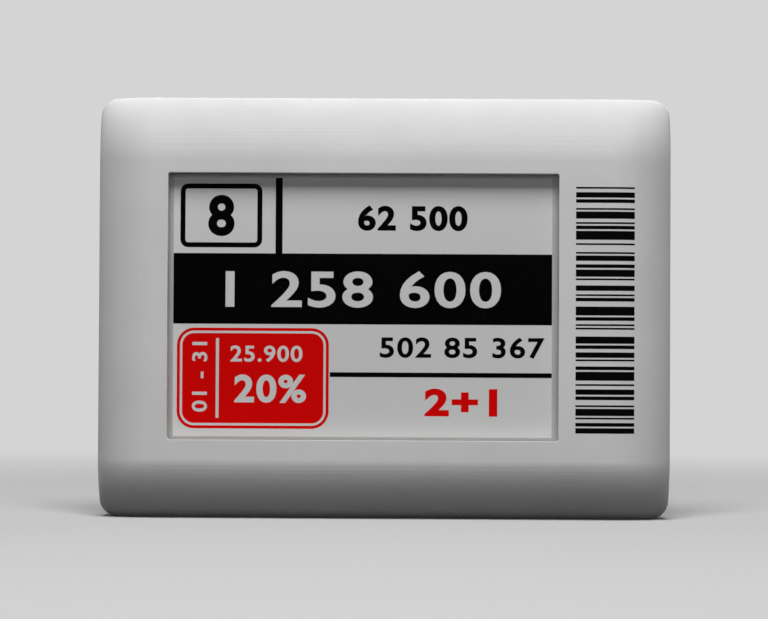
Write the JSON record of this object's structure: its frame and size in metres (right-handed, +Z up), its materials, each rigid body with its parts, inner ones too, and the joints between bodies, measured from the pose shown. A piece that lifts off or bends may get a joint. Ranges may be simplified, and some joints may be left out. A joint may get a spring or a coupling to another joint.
{
  "type": "electronic shelf label",
  "caption": "Small white price label for a shelf edge, with a recessed electronic paper display in a softly crowned case and a sliding battery door at the back.",
  "frame": {"origin": "middle of the case's width and depth at its flat bottom edge", "axes": "+X to the right as the display is read, +Y from the display to the back, +Z up"},
  "size_m": [0.087, 0.015, 0.064],
  "materials": {
    "case_white": "printed matte plastic with fine layer lines",
    "screw_steel": "zinc plated",
    "foam_black": "closed-cell foam",
    "clear_film": "clear anti-glare film",
    "paper_film": "electronic paper, matte grey-white",
    "panel_glass": "clear glass",
    "chip_black": "moulded epoxy",
    "flex_amber": "polyimide film",
    "stiffener_blue": "polyester strip",
    "tape_white": "double-sided tape",
    "frame_grey": "moulded plastic",
    "board_green": "solder mask over glass-epoxy",
    "connector_ivory": "moulded plastic",
    "latch_brown": "moulded plastic",
    "shield_steel": "tinned sheet steel",
    "ferrite_grey": "ferrite",
    "ceramic_tan": "ceramic with tinned ends",
    "resistor_black": "glass-coated ceramic",
    "board_copper": "copper under solder mask",
    "gold_plate": "gold-plated spring metal",
    "switch_black": "moulded plastic",
    "button_grey": "moulded plastic",
    "cradle_black": "moulded plastic",
    "cell_steel": "nickel-plated steel",
    "seal_black": "moulded plastic",
    "cell_filling": "pressed powder"
  },
  "bodies": {
    "case": {"front_cover": "case_white", "rear_cover": "case_white", "cover_screws": "screw_steel", "display_gasket": "foam_black", "protective_film": "clear_film", "ink_film": "paper_film", "display_glass": "panel_glass", "driver_chip": "chip_black", "display_flex": "flex_amber", "flex_stiffener": "stiffener_blue", "panel_tape": "tape_white", "panel_frame": "frame_grey", "board_screws": "screw_steel", "main_board": "board_green", "flex_connector": "connector_ivory", "radio_shield": "shield_steel", "processor_chip": "chip_black", "crystals": "shield_steel", "flash_chip": "chip_black", "boost_inductor": "ferrite_grey", "boost_transistor": "chip_black", "boost_diodes": "chip_black", "ceramic_capacitors": "ceramic_tan", "resistors": "resistor_black", "antenna_trace": "board_copper", "debug_pads": "gold_plate", "switch_body": "switch_black", "cell_cradle": "cradle_black", "negative_contacts": "gold_plate", "positive_contacts": "gold_plate", "left_cell_can": "cell_steel", "left_cell_cap": "cell_steel", "right_cell_can": "cell_steel", "right_cell_cap": "cell_steel", "cell_seals": "seal_black", "cell_fillings": "cell_filling"},
    "battery_door": {"battery_door": "case_white"},
    "wake_button": {"wake_button": "button_grey"},
    "switch_plunger": {"switch_plunger": "switch_black"},
    "connector_latch": {"connector_latch": "latch_brown"}
  },
  "joints": [
    {"name": "battery_door_slide", "type": "slide", "parent": "case", "child": "battery_door", "axis": [0, 0, 1], "range_m": [0, 0.034]},
    {"name": "wake_button_press", "type": "slide", "parent": "case", "child": "wake_button", "axis": [0, -1, 0], "range_m": [0, 0.0003], "stiffness_N_per_m": 5300},
    {"name": "switch_plunger_press", "type": "slide", "parent": "case", "child": "switch_plunger", "axis": [0, -1, 0], "range_m": [0, 0.0003]},
    {"name": "connector_latch_flip", "type": "hinge", "parent": "case", "child": "connector_latch", "pos_m": [0.02957, 0.00009, 0.032], "axis": [0, 0, 1], "range_deg": [0, 90]}
  ],
  "couplings": [
    {"joint": "switch_plunger_press", "follows": "wake_button_press", "ratio": 1}
  ]
}
